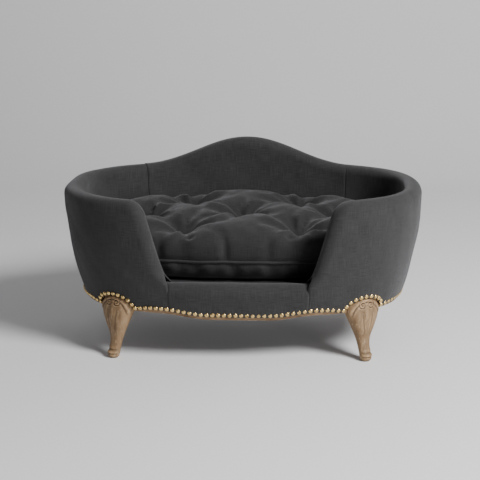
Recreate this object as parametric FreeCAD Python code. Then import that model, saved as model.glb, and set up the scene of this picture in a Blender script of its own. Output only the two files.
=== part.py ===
"""Small upholstered dog sofa: a padded wrap-round body on four carved legs, with a loose tufted cushion.

Frame: +Z up, the floor at Z = 0, the open front towards -Y, and the origin under the middle of the body.
All sizes are in millimetres.
"""

import FreeCAD
import Part

import math
import os

from FreeCAD import Vector

os.makedirs("parts", exist_ok=True)

# ---------------------------------------------------------------- body outline and walls
HALF_WIDTH = 333.5  # of the outline, where the walls' flare begins
FRONT_HALF = 222.0  # from the widest line forward to the front of that outline
ROUNDNESS = 2.6  # exponent of the outline: 2 is an ellipse, more is squarer
FLARE_LOW = 98.0  # height where the outward flare begins
FLARE = 41.5  # how far the rim stands out past the outline
ARM_TOP = 335.0
BACK_RISE = 58.0  # hump of the back above the arms
BACK_SEAM_X = 222.0  # where back and arms meet
RAIL_TOP = 165.0  # low front rail that the dog steps over
WALL = 38.0  # thickness of arms and back, padding included
RAIL_WALL = 50.0  # thickness of the front rail
NOSE_X = 117.0  # foot of each arm's front end
NOSE_SLANT = 0.27  # sideways lean of the arm's front end, per unit of height
NOSE_LEAN_LENGTH = 240.0  # stretch of arm over which that lean comes in
NOSE_FORWARD = 4.75  # how far the leaning ends stand in front of the rail
NOSE_CORNER = 26.0  # radius where the rim turns down into the front end
NOSE_EASE = 5.0  # rounding of the front end's upright edges
CROWN = 17.0  # height of the rounded top of a wall
SECTION_OVERRUN = 2.0  # how far a hollow runs on past the open end of its wall
COVER = 1.5  # upholstery fabric
GAP = 0.3  # left between layers
OUTER_PAD = 7.0
TOP_PAD = 12.0
PANEL = 12.0  # plywood inside the walls
PANEL_CROWN = 2.0
NOSE_PAD = 26.0  # padding in front of the plywood's end
BOARD_CORNER = 44.0  # radius of the plywood's upper front corner

# ---------------------------------------------------------------- base frame
NAIL_LINE = 113.0
FRONT_DIP = 10.0  # the front's serpentine drop in the middle
DIP_FLAT = 60.0  # half width of the dip's level middle
DIP_END = 155.0  # where the dip has run out
COVER_BELOW_NAILS = 4.0
SKIRT_GAP = 1.2  # the turned-under hem, between the cover's lower edge and the wood
APRON_BELOW_NAILS = 11.5
APRON_TOP = 138.0
APRON_INNER = 20.0  # inset of the aprons' inner face from the outline
BOARD = 7.0  # plywood platform
BOARD_INSET = 11.0
BRACE_WIDTH = 32.0
BRACE_DEPTH = 26.0
BRACE_X = 105.0
DECK_PAD = 4.0
DECK_CLOTH = 0.8
DECK_SIDE_INSET = 26.0
DECK_FRONT_INSET = 38.0
RAIL_FACING = 0.86  # the outline faces the front this squarely where the deck starts to draw in
RAIL_FACING_BLEND = 0.12
DUST_CLOTH = 0.8
DUST_CLOTH_RISE = 4.0  # above the aprons' lower edge

# ---------------------------------------------------------------- legs and fasteners
LEG_X = 250.0
LEG_BLOCK_HALF = 30.0  # half width of the square top that the aprons meet
LEG_BLOCK_LOW = 94.0
GLIDE = 3.0
GLIDE_RADIUS = 8.0
TOE_OUT = 12.0  # how far the toe stands out from the outline
KNEE_RISE = 21.0  # height of the nail arch over each knee
KNEE_HALF = 43.0  # half width of that arch
KNEE_GAP = 1.0  # between the carved knee and the cover cut round it
CORNER_BLOCK = 22.0  # thickness of the block behind each leg
CORNER_BLOCK_HALF = 62.0
CORNER_BLOCK_EXTRA = 2.0  # the block's added depth behind the leg, where the aprons curve away
BOLT_RADIUS = 3.0
BOLT_IN_LEG = 18.0
BOLT_Z = 124.0
BOLT_PAST_NUT = 4.0
NUT_RADIUS = 7.0
NUT = 6.0
WASHER_RADIUS = 9.0
WASHER = 1.5
FIT = 0.05  # clearance of a fastener in its hole
DOWEL_RADIUS = 3.0
DOWEL_REACH = 11.0  # length of a dowel in each of its two pieces
DOWEL_HEIGHTS = (114.0, 129.0)
DOWEL_INSET = 13.5
SCREW_RADIUS = 2.0
SCREW_LENGTH = 28.0
SCREW_HEAD_RADIUS = 4.0
SCREW_HEAD = 2.4
SCREW_INSET = 15.5

# ---------------------------------------------------------------- nails
NAIL_PITCH = 11.5
NAIL_RADIUS = 4.7
NAIL_DOME = 2.8
NAIL_SHANK_RADIUS = 0.9
NAIL_SHANK = 10.0
NAIL_SEAT = 0.4  # the head's underside off the weave

# ---------------------------------------------------------------- cushion
SIDE_CLEARANCE = 8.0  # between the cushion's widest outline and the arms
FRONT_CLEARANCE = 14.0
CUSHION_REST_GAP = 0.4
CUSHION_HEIGHT = 134.0
CUSHION_COVER = 1.2
CUSHION_BELLY = 80.0  # height of its widest outline above its underside
CUSHION_TUCK = 52.0  # how far the underside's edge draws in from the widest outline
CUSHION_SHOULDER = 72.0  # how far the top's edge draws in
CUSHION_SEAM = 45.0  # height of the piped seam above the cushion's underside
PIPING_RADIUS = 2.6
TUFT_X = 118.0
TUFT_SIDE_X = 205.0
TUFT_Y = 93.0
TUFT_DEPTH = 46.0  # from the crest down to the twine's upper knot
TWINE_RADIUS = 0.9
KNOT_RADIUS = 3.0

# ---------------------------------------------------------------- worked out from the sizes above
BOARD_TOP = APRON_TOP + BOARD
DECK_TOP = BOARD_TOP + GAP + DECK_PAD + GAP + DECK_CLOTH
CUSHION_LOW = DECK_TOP + CUSHION_REST_GAP
APRON_LOW = NAIL_LINE - APRON_BELOW_NAILS
SKIN = COVER + GAP  # from the outside of the upholstery to the padding
WOOD_INSET = COVER + SKIRT_GAP  # from the outside of the upholstery to the wood behind its lower edge


def flare(z):
    """How far the outer surface stands out past the outline at a height."""
    t = min((z - FLARE_LOW) / (ARM_TOP - FLARE_LOW), 1.0)
    return FLARE * (2 * t - t * t)


BACK_HALF = FRONT_HALF + flare(RAIL_TOP) + NOSE_FORWARD - FLARE  # puts the origin under the middle


def signed_power(value, power):
    return math.copysign(abs(value) ** power, value)


def oval_point(angle, half_width, front, back):
    """A point of a rounded outline and its outward normal; angle 0 is the front, 90 degrees +X."""
    across, along = math.sin(angle), -math.cos(angle)
    half_depth = front if along < 0 else back
    x = half_width * signed_power(across, 2 / ROUNDNESS)
    y = half_depth * signed_power(along, 2 / ROUNDNESS)
    normal = Vector(
        signed_power(x / half_width, ROUNDNESS - 1) / half_width,
        signed_power(y / half_depth, ROUNDNESS - 1) / half_depth,
        0,
    )
    return Vector(x, y, 0), normal.normalize()


class Outline:
    """The body's outline, found by length along it from the front centre, counted towards +X."""

    steps = 1440

    def __init__(self):
        self.angles = [2 * math.pi * i / self.steps for i in range(self.steps + 1)]
        self.lengths = [0.0]
        points = [self.point(a)[0] for a in self.angles]
        for here, there in zip(points, points[1:]):
            self.lengths.append(self.lengths[-1] + here.distanceToPoint(there))
        self.whole = self.lengths[-1]

    def point(self, angle):
        return oval_point(angle, HALF_WIDTH, FRONT_HALF, BACK_HALF)

    def angle_at(self, length):
        length %= self.whole
        low, high = 0, self.steps
        while high - low > 1:
            middle = (low + high) // 2
            if self.lengths[middle] <= length:
                low = middle
            else:
                high = middle
        share = (length - self.lengths[low]) / (self.lengths[high] - self.lengths[low])
        return self.angles[low] + share * (self.angles[high] - self.angles[low])

    def length_at_x(self, x, at_back=False):
        """Length to the point of the front (or back) whose x is the given positive one."""
        angle = math.asin((x / HALF_WIDTH) ** (ROUNDNESS / 2))
        if at_back:
            angle = math.pi - angle
        place = angle / (2 * math.pi) * self.steps
        low = int(place)
        return self.lengths[low] + (place - low) * (self.lengths[low + 1] - self.lengths[low])


OUTLINE = Outline()
WHOLE = OUTLINE.whole
LEG_FRONT = OUTLINE.length_at_x(LEG_X)
LEG_BACK = OUTLINE.length_at_x(LEG_X, at_back=True)
NOSE_LENGTH = OUTLINE.length_at_x(NOSE_X)
SEAM_LENGTH = OUTLINE.length_at_x(BACK_SEAM_X, at_back=True)
LEGS = {
    "front_right": LEG_FRONT,
    "rear_right": LEG_BACK,
    "rear_left": WHOLE - LEG_BACK,
    "front_left": WHOLE - LEG_FRONT,
}


class Station:
    """A place on the outline, with the plane of the wall's cross-section there."""

    def __init__(self, length, slant=0.0):
        self.point, self.normal = OUTLINE.point(OUTLINE.angle_at(length))
        self.length = length
        self.tangent = Vector(-self.normal.y, self.normal.x, 0)
        self.slant = slant

    def at(self, out, z, along=0.0):
        """The point that far out from the outline, at that height, moved along the outline's tangent."""
        side = along + self.slant * (z - FLARE_LOW)
        flat = self.point + self.normal * out + self.tangent * side
        return Vector(flat.x, flat.y, z)


# ---------------------------------------------------------------- general helpers
def save(name, shape):
    """Writes one node, after checking that it is made of valid closed solids."""
    if not shape.Solids or not shape.isValid():
        raise ValueError(name + " isn't a valid solid")
    out = shape.Solids[0] if len(shape.Solids) == 1 else Part.Compound(shape.Solids)
    out.exportStep("parts/" + name + ".step")


def spaced(start, end, count):
    return [start + (end - start) * i / (count - 1) for i in range(count)]


def ease(share):
    """Runs smoothly from 0 to 1 as share does."""
    share = min(max(share, 0.0), 1.0)
    return (1 - math.cos(math.pi * share)) / 2


def spline(points):
    """A curve through points at even steps, so that the sections of one loft share their knots."""
    curve = Part.BSplineCurve()
    curve.interpolate(Points=points, Parameters=[float(i) for i in range(len(points))])
    return curve.toShape()


def closed_spline(points):
    curve = Part.BSplineCurve()
    steps = [float(i) for i in range(len(points) + 1)]
    curve.interpolate(Points=points, PeriodicFlag=True, Parameters=steps)
    return Part.Wire(curve.toShape())


def line(a, b):
    return Part.LineSegment(a, b).toShape()


def arc(a, through, b):
    return Part.Arc(a, through, b).toShape()


def loft(wires):
    return Part.makeLoft(wires, True, False)


def mirrored(shape):
    return shape.mirror(Vector(0, 0, 0), Vector(1, 0, 0))


def cylinder(radius, start, end):
    return Part.makeCylinder(radius, start.distanceToPoint(end), start, end - start)


def local_box(station, out_low, out_high, half_width, low, high):
    """A box square to the outline at a station."""
    corners = [
        station.at(out_low, low, -half_width),
        station.at(out_high, low, -half_width),
        station.at(out_high, low, half_width),
        station.at(out_low, low, half_width),
    ]
    return Part.Face(Part.makePolygon(corners + corners[:1])).extrude(Vector(0, 0, high - low))


OUTLINE_POINTS = 48


def outline_wire(out, z):
    """The outline moved out, or in where negative, at a height; out may be a function of the normal."""
    stations = [Station(WHOLE * i / OUTLINE_POINTS) for i in range(OUTLINE_POINTS)]
    return closed_spline([s.at(out(s.normal) if callable(out) else out, z) for s in stations])


def upright_block(out, low, high):
    return Part.Face(outline_wire(out, low)).extrude(Vector(0, 0, high - low))


def flared_block(inset, low, high):
    """The body's outer form, drawn in by inset, between two heights."""
    return loft([outline_wire(flare(z) - inset, z) for z in spaced(low, high, 3)])


# ---------------------------------------------------------------- walls
CURVE_POINTS = 6
CROWN_POINTS = 9


def side_curve(station, inset, low, high):
    return spline([station.at(flare(z) - inset, z) for z in spaced(low, high, CURVE_POINTS)])


def wall_section(station, outer, inner, foot, top, crown):
    """A wall's cross-section: up the outside, over the rounded top, down the inside, along the foot."""
    shoulder = top - crown
    up = side_curve(station, outer, foot, shoulder)
    down = side_curve(station, inner, shoulder, foot)
    rounded = []
    for turned in spaced(0, math.pi, CROWN_POINTS):
        inset = outer + (inner - outer) * (1 - math.cos(turned)) / 2
        rounded.append(station.at(flare(shoulder) - inset, shoulder + crown * math.sin(turned)))
    over = spline(rounded)
    close = line(station.at(flare(foot) - inner, foot), station.at(flare(foot) - outer, foot))
    return Part.Wire([up, over, down, close])


def turn(distance, radius):
    """How far a rounded edge has turned in at a distance from the end that it turns into."""
    if distance >= radius:
        return 0.0
    return radius - math.sqrt(radius**2 - (radius - distance) ** 2)


class Wall:
    """One upholstered wall, as a list of (station, height of its top, narrowing of each face)."""

    def __init__(self, thickness, sections):
        self.thickness = thickness
        self.sections = sections

    def solid(self, offset, foot):
        """The wall's form drawn in by offset, standing on foot, a height or a function of the station."""
        wires = []
        for station, top, narrow in self.sections:
            inset = offset + narrow
            low = foot(station) if callable(foot) else foot
            crown = CROWN - offset / 2
            wires.append(wall_section(station, inset, self.thickness - inset, low, top - offset, crown))
        return loft(wires)

    def board(self, grow, foot):
        """The plywood inside, grown by a clearance."""
        wires = []
        outer = SKIN + OUTER_PAD
        for station, top, _ in self.sections:
            high = top - SKIN - TOP_PAD + grow
            wires.append(wall_section(station, outer - grow, outer + PANEL + grow, foot, high, PANEL_CROWN))
        return loft(wires)


ARM_SECTIONS = 18
ARM_SPREAD = 1.4  # sections stand closer together towards the arm's front end
CORNER_SECTIONS = 6
BACK_SECTIONS = 15
RAIL_SECTIONS = 11


def arm_wall(start, radius, overrun=0.0):
    """The right arm, from a distance behind its front end, to the back seam or past it by overrun."""
    angles = spaced(0, math.pi / 2, CORNER_SECTIONS)
    end = SEAM_LENGTH - NOSE_LENGTH - GAP / 2 + overrun
    turning = [start + radius * (1 - math.cos(a)) for a in angles]
    straight_start = start + radius
    shares = [share**ARM_SPREAD for share in spaced(0.0, 1.0, ARM_SECTIONS)[1:]]
    straight = [straight_start + (end - straight_start) * share for share in shares]
    sections = []
    for distance in turning + straight:
        slant = NOSE_SLANT * (1 - ease(distance / NOSE_LEAN_LENGTH))
        station = Station(NOSE_LENGTH + distance, slant)
        top = ARM_TOP - turn(distance - start, radius)
        sections.append((station, top, turn(distance - start, NOSE_EASE)))
    return Wall(WALL, sections)


def back_wall(overrun=0.0):
    reach = SEAM_LENGTH + GAP / 2 - overrun
    sections = []
    for length in spaced(reach, WHOLE - reach, BACK_SECTIONS):
        station = Station(length)
        top = ARM_TOP + BACK_RISE * (1 - ease(abs(station.point.x) / BACK_SEAM_X))
        sections.append((station, top, 0.0))
    return Wall(WALL, sections)


def rail_wall(overrun=0.0):
    reach = NOSE_LENGTH - GAP + overrun
    lengths = spaced(-reach, reach, RAIL_SECTIONS)
    return Wall(RAIL_WALL, [(Station(s, NOSE_SLANT * s / reach), RAIL_TOP, 0.0) for s in lengths])


# ---------------------------------------------------------------- the line of the nails
def front_dip(x):
    return FRONT_DIP * (1 - ease((abs(x) - DIP_FLAT) / (DIP_END - DIP_FLAT)))


def knee_arch(distance):
    """Rise of the nail line at a distance along the outline from a leg's middle: half an oval."""
    return KNEE_RISE * math.sqrt(max(1 - (distance / KNEE_HALF) ** 2, 0.0))


def nail_height(length):
    station = Station(length)
    height = NAIL_LINE - (front_dip(station.point.x) if station.point.y < 0 else 0.0)
    for leg in LEGS.values():
        away = abs((length - leg + WHOLE / 2) % WHOLE - WHOLE / 2)
        height += knee_arch(away)
    return height


def cover_foot(station):
    dip = front_dip(station.point.x) if station.point.y < 0 else 0.0
    return NAIL_LINE - COVER_BELOW_NAILS - dip


ARCH_POINTS = 13


def arch_cutter(station):
    """The opening over a leg's knee, cut square through the cover."""
    foot = NAIL_LINE - COVER_BELOW_NAILS
    sides = [-KNEE_HALF * math.cos(turned) for turned in spaced(0, math.pi, ARCH_POINTS)]
    arch = [station.at(-APRON_INNER, foot + knee_arch(s), s) for s in sides]
    low = [station.at(-APRON_INNER, FLARE_LOW, s) for s in (KNEE_HALF, -KNEE_HALF)]
    edges = [spline(arch), line(arch[-1], low[0]), line(low[0], low[1]), line(low[1], arch[0])]
    return Part.Face(Part.Wire(edges)).extrude(station.normal * 2 * APRON_INNER)


# ---------------------------------------------------------------- nails
WALK_STEP = 1.0


def nail_places():
    """Lengths along the outline where nails sit, evenly spaced along their rising and falling line."""
    count = int(WHOLE / WALK_STEP)
    step = WHOLE / count
    heights = [nail_height(i * step) for i in range(count + 1)]
    walked = [0.0]
    for low, high in zip(heights, heights[1:]):
        walked.append(walked[-1] + math.hypot(step, high - low))
    nails = round(walked[-1] / NAIL_PITCH)
    pitch = walked[-1] / nails
    places = []
    for i, (here, there) in enumerate(zip(walked, walked[1:])):
        wanted = (len(places) + 0.5) * pitch
        if here <= wanted < there:
            places.append((i + (wanted - here) / (there - here)) * step)
    return places


def nail_axis(length):
    """A nail's seat on the cover and the way that it points out of it."""
    station = Station(length)
    z = nail_height(length)
    lean = (flare(z + 1) - flare(z - 1)) / 2
    outward = Vector(station.normal.x, station.normal.y, -lean)
    return station.at(flare(z) + NAIL_SEAT, z), outward.normalize()


def nail(length):
    """A domed head on a round shank."""
    seat, outward = nail_axis(length)
    ball = (NAIL_RADIUS**2 + NAIL_DOME**2) / (2 * NAIL_DOME)
    across = Vector(0, 0, 1).cross(outward).normalize()
    rim = seat + across * NAIL_RADIUS
    peak = seat + outward * NAIL_DOME
    slope = math.asin(NAIL_RADIUS / ball) / 2
    height = NAIL_DOME - ball * (1 - math.cos(slope))
    middle = seat + across * (ball * math.sin(slope)) + outward * height
    profile = Part.Wire([line(seat, rim), arc(rim, middle, peak), line(peak, seat)])
    head = Part.Face(profile).revolve(seat, outward, 360)
    shank = cylinder(NAIL_SHANK_RADIUS, seat - outward * NAIL_SHANK, seat + outward * (NAIL_DOME / 2))
    return head.fuse(shank)


def nail_holes(places):
    holes = []
    for length in places:
        seat, outward = nail_axis(length)
        radius = NAIL_SHANK_RADIUS + FIT
        holes.append(cylinder(radius, seat - outward * (NAIL_SHANK + FIT), seat + outward * NAIL_DOME))
    return holes


def nearest_side(length):
    if length <= LEG_FRONT or length >= WHOLE - LEG_FRONT:
        return "front"
    if LEG_BACK <= length <= WHOLE - LEG_BACK:
        return "back"
    return "right" if length < WHOLE / 2 else "left"


# ---------------------------------------------------------------- wood
def apron_ring():
    """The band of wood under the walls, before the legs break it up."""
    low = APRON_LOW - FRONT_DIP - GAP
    ring = flared_block(WOOD_INSET, low, APRON_TOP).cut(upright_block(-APRON_INNER, low - 1, APRON_TOP + 1))
    xs = spaced(-DIP_END, DIP_END, 2 * ARCH_POINTS - 1)
    edge = [Vector(x, 0, APRON_LOW - front_dip(x)) for x in xs]
    far = 2 * HALF_WIDTH
    corners = [
        Vector(far, 0, APRON_LOW),
        Vector(far, 0, low - 1),
        Vector(-far, 0, low - 1),
        Vector(-far, 0, APRON_LOW),
    ]
    outline = [spline(edge)]
    for here, there in zip([edge[-1]] + corners, corners + [edge[0]]):
        outline.append(line(here, there))
    under_front = Part.Face(Part.Wire(outline)).extrude(Vector(0, -2 * FRONT_HALF, 0))
    under_back = Part.makeBox(2 * far, 2 * FRONT_HALF, APRON_LOW - low + 1, Vector(-far, 0, low - 1))
    return ring.cut([under_front, under_back])


def aprons(legs):
    """The four aprons, named by side, scribed to the knees of the legs."""
    gaps = []
    for length in LEGS.values():
        station = Station(length)
        gaps.append(local_box(station, -3 * APRON_INNER, 3 * APRON_INNER, LEG_BLOCK_HALF + GAP, 0, ARM_TOP))
    named = {}
    for piece in apron_ring().cut(gaps + legs).Solids:
        centre = piece.CenterOfMass
        if abs(centre.x) > abs(centre.y):
            named["right_apron" if centre.x > 0 else "left_apron"] = piece
        else:
            named["back_apron" if centre.y > 0 else "front_apron"] = piece
    return named


LEG_RINGS = 12
KNEE_SHARES = (0.15, 0.45, 0.72, 0.9, 0.97)
KNEE_DOMING = 9.0
KNEE_HALF_DEPTH = 21.0
KNEE_FRONT = 14.0  # how far the knee stands out from the outline


def leg_ring(station, centre, half_depth, half_width, z):
    """One level cut of a leg: an oval, centred a distance out from the outline."""
    points = []
    for i in range(LEG_RINGS):
        angle = 2 * math.pi * i / LEG_RINGS
        out = centre + half_depth * math.cos(angle)
        points.append(station.at(out, z, half_width * math.sin(angle)))
    return closed_spline(points)


def knee_half_width(z):
    """Half width of the carved knee under the arch, which the cover clears all round."""
    foot = NAIL_LINE - COVER_BELOW_NAILS
    return KNEE_HALF * math.sqrt(1 - ((z - foot) / KNEE_RISE) ** 2) - 2 * KNEE_GAP


def leg(station):
    """A cabriole leg: turned-out toe, slim ankle, swelling carved knee, and a square top."""
    rings = [
        leg_ring(station, TOE_OUT, 9.5, 9.5, GLIDE),
        leg_ring(station, TOE_OUT, 11.5, 11, 9),
        leg_ring(station, 9, 11, 10.5, 16),
        leg_ring(station, 4.5, 10.5, 10.5, 26),
        leg_ring(station, 1, 11, 12.5, 38),
        leg_ring(station, -1, 13, 16.5, 52),
        leg_ring(station, -1.5, 16.5, 22.5, 66),
        leg_ring(station, -3, 19.5, 29, 81),
        leg_ring(station, -5, 21, 35, 94),
        leg_ring(station, -7, 21.5, 38, 103),
    ]
    foot = NAIL_LINE - COVER_BELOW_NAILS
    for share in KNEE_SHARES:
        z = foot + share * (KNEE_RISE - KNEE_GAP)
        half_depth = KNEE_HALF_DEPTH - KNEE_DOMING * share
        centre = KNEE_FRONT - half_depth - KNEE_DOMING * share / 2
        rings.append(leg_ring(station, centre, half_depth, knee_half_width(z), z))
    knee = loft(rings)
    top = flared_block(WOOD_INSET, LEG_BLOCK_LOW, APRON_TOP).cut(
        upright_block(-APRON_INNER, LEG_BLOCK_LOW - 1, APRON_TOP + 1)
    )
    block = top.common(local_box(station, -3 * APRON_INNER, 3 * APRON_INNER, LEG_BLOCK_HALF, 0, ARM_TOP))
    behind = local_box(station, -4 * APRON_INNER, 0, 2 * LEG_BLOCK_HALF, APRON_LOW, ARM_TOP)
    carved = knee.cut(upright_block(-APRON_INNER, 0, ARM_TOP).common(behind))
    return carved.fuse(block).removeSplitter()


def leg_bolt(station):
    """A bolt from the leg's top through the corner block, with its washer and nut."""
    start = station.at(-APRON_INNER + BOLT_IN_LEG, BOLT_Z)
    back = -APRON_INNER - GAP - CORNER_BLOCK - CORNER_BLOCK_EXTRA
    end = station.at(back - WASHER - NUT - BOLT_PAST_NUT, BOLT_Z)
    washer_at = station.at(back, BOLT_Z)
    nut_at = station.at(back - WASHER, BOLT_Z)
    nut_end = station.at(back - WASHER - NUT, BOLT_Z)
    hole = BOLT_RADIUS + FIT
    bolt = cylinder(BOLT_RADIUS, start, end)
    washer = cylinder(WASHER_RADIUS, washer_at, nut_at).cut(cylinder(hole, start, end))
    nut = cylinder(NUT_RADIUS, nut_at, nut_end).cut(cylinder(hole, start, end))
    drill = cylinder(hole, station.at(-APRON_INNER + BOLT_IN_LEG + FIT, BOLT_Z), end)
    return bolt, washer, nut, drill


def corner_block(station):
    """A block glued behind a leg, shaped to the inner faces of the two aprons that it ties together."""
    back = -APRON_INNER - GAP - CORNER_BLOCK - CORNER_BLOCK_EXTRA
    low = APRON_LOW + DUST_CLOTH_RISE + DUST_CLOTH + GAP
    box = local_box(station, back, 0, CORNER_BLOCK_HALF, low, APRON_TOP - GAP)
    return box.common(upright_block(-APRON_INNER - GAP, low - 1, APRON_TOP))


def dowels(station):
    """Four dowels that join a leg's square top to the aprons beside it."""
    made = []
    for side in (-1, 1):
        for z in DOWEL_HEIGHTS:
            near = side * (LEG_BLOCK_HALF - DOWEL_REACH)
            far = side * (LEG_BLOCK_HALF + GAP + DOWEL_REACH)
            made.append((station.at(-DOWEL_INSET, z, near), station.at(-DOWEL_INSET, z, far)))
    return made


def screw_places():
    """Where the platform is screwed down to the aprons."""
    lengths = [0.0, WHOLE / 2]
    for middle in (0.0, WHOLE / 2):
        lengths += [middle + NOSE_LENGTH, middle - NOSE_LENGTH]
    side = (LEG_FRONT + LEG_BACK) / 2
    lengths += [side, WHOLE - side]
    return [Station(length).at(-SCREW_INSET, BOARD_TOP) for length in lengths]


def screw(place, clearance=0.0):
    down = Vector(0, 0, -1)
    head = Part.makeCylinder(SCREW_HEAD_RADIUS + clearance, SCREW_HEAD + clearance, place, down)
    shank = Part.makeCylinder(SCREW_RADIUS + clearance, SCREW_LENGTH + clearance, place, down)
    return head.fuse(shank)


def deck_inset(normal):
    """The deck stops short of the walls, and further short of the thicker front rail."""
    share = ease((-normal.y - RAIL_FACING) / RAIL_FACING_BLEND)
    return -DECK_SIDE_INSET - (DECK_FRONT_INSET - DECK_SIDE_INSET) * share


# ---------------------------------------------------------------- cushion
WIDEST_Z = CUSHION_LOW + CUSHION_BELLY
CUSHION_HALF_WIDTH = HALF_WIDTH + flare(WIDEST_Z) - WALL - SIDE_CLEARANCE
CUSHION_BACK = BACK_HALF + flare(WIDEST_Z) - WALL - SIDE_CLEARANCE
CUSHION_FRONT = FRONT_HALF + flare(RAIL_TOP) - RAIL_WALL - FRONT_CLEARANCE
SKIN_OF_CUSHION = CUSHION_COVER + GAP
CUSHION_POINTS = 32
PILLOW_LEVELS = 5


def cushion_wire(inset, z):
    points = []
    for i in range(CUSHION_POINTS):
        angle = 2 * math.pi * i / CUSHION_POINTS
        point, normal = oval_point(angle, CUSHION_HALF_WIDTH, CUSHION_FRONT, CUSHION_BACK)
        flat = point - normal * inset
        points.append(Vector(flat.x, flat.y, z))
    return closed_spline(points)


def tuft_places():
    places = [(0.0, 0.0), (TUFT_SIDE_X, 0.0), (-TUFT_SIDE_X, 0.0)]
    for x in (-TUFT_X, TUFT_X):
        for y in (-TUFT_Y, TUFT_Y):
            places.append((x, y))
    return places


def pillow_levels(offset):
    """Height and inset of the cushion's levels: a quarter oval up to its belly and one on to its top."""
    levels = []
    for turned in spaced(0, math.pi / 2, PILLOW_LEVELS):
        rise = (CUSHION_BELLY - offset) * (1 - math.cos(turned))
        levels.append((offset + rise, offset + (CUSHION_TUCK - offset) * (1 - math.sin(turned))))
    for turned in spaced(0, math.pi / 2, PILLOW_LEVELS)[1:]:
        rise = (CUSHION_HEIGHT - CUSHION_BELLY - offset) * math.sin(turned)
        levels.append((CUSHION_BELLY + rise, offset + (CUSHION_SHOULDER - offset) * (1 - math.cos(turned))))
    return levels


def pillow(offset):
    """The cushion's form drawn in by offset."""
    return loft([cushion_wire(inset, CUSHION_LOW + rise) for rise, inset in pillow_levels(offset)])


def piping():
    """The round welt sewn into the seam, just clear of the cover."""
    z = CUSHION_LOW + CUSHION_SEAM
    turned = math.acos(1 - CUSHION_SEAM / CUSHION_BELLY)
    inset = CUSHION_TUCK * (1 - math.sin(turned)) - PIPING_RADIUS - 2 * GAP
    path = cushion_wire(inset, z)
    start = Vector(0, -CUSHION_FRONT + inset, z)
    ring = Part.Wire(Part.makeCircle(PIPING_RADIUS, start, Vector(1, 0, 0)))
    return path.makePipeShell([ring], True, True)


def twine(x, y, clearance=0.0):
    """A tuft's twine inside the filling, with a knot at each end."""
    low = Vector(x, y, CUSHION_LOW + CUSHION_COVER + KNOT_RADIUS + 3 * GAP)
    high = Vector(x, y, CUSHION_LOW + CUSHION_HEIGHT - TUFT_DEPTH)
    strand = cylinder(TWINE_RADIUS + clearance, low, high)
    knots = [Part.makeSphere(KNOT_RADIUS + clearance, end) for end in (low, high)]
    return strand.fuse(knots)


# ---------------------------------------------------------------- the build
def build_base(places):
    holes = nail_holes(places)
    drills = []
    bolts, washers, nuts, blocks, glides = [], [], [], [], []
    dowel_ends = []
    for length in LEGS.values():
        station = Station(length)
        bolt, washer, nut, drill = leg_bolt(station)
        bolts.append(bolt)
        washers.append(washer)
        nuts.append(nut)
        drills.append(drill)
        blocks.append(corner_block(station).cut(drill))
        glides.append(Part.makeCylinder(GLIDE_RADIUS, GLIDE, station.at(TOE_OUT, 0)))
        dowel_ends += dowels(station)
    sockets = [cylinder(DOWEL_RADIUS + FIT, a, b) for a, b in dowel_ends]
    screws = screw_places()
    screw_holes = [screw(place, FIT) for place in screws]
    legs = {name: leg(Station(length)) for name, length in LEGS.items()}
    for name, apron in aprons(list(legs.values())).items():
        save(name, apron.cut(sockets + screw_holes + holes))
    for name, shape in legs.items():
        save(name + "_leg", shape.cut(sockets + drills + holes))
    save("corner_blocks", Part.Compound(blocks))
    save("leg_bolts", Part.Compound(bolts))
    save("leg_bolt_washers", Part.Compound(washers))
    save("leg_bolt_nuts", Part.Compound(nuts))
    save("foot_glides", Part.Compound(glides))
    save("apron_dowels", Part.Compound([cylinder(DOWEL_RADIUS, a, b) for a, b in dowel_ends]))
    save("platform_screws", Part.Compound([screw(place) for place in screws]))
    save("platform_board", upright_block(-BOARD_INSET, APRON_TOP, BOARD_TOP).cut(screw_holes))
    inner = upright_block(-APRON_INNER - GAP, APRON_LOW, APRON_TOP)
    for name, x in (("left_brace", -BRACE_X), ("right_brace", BRACE_X)):
        corner = Vector(x - BRACE_WIDTH / 2, -2 * FRONT_HALF, APRON_TOP - GAP - BRACE_DEPTH)
        save(name, Part.makeBox(BRACE_WIDTH, 4 * FRONT_HALF, BRACE_DEPTH, corner).common(inner))
    dust_low = APRON_LOW + DUST_CLOTH_RISE
    save("dust_cloth", upright_block(-APRON_INNER - GAP, dust_low, dust_low + DUST_CLOTH))
    pad_low = BOARD_TOP + GAP
    save("deck_pad", upright_block(deck_inset, pad_low, pad_low + DECK_PAD))
    save("deck_cloth", upright_block(deck_inset, DECK_TOP - DECK_CLOTH, DECK_TOP))


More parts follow.
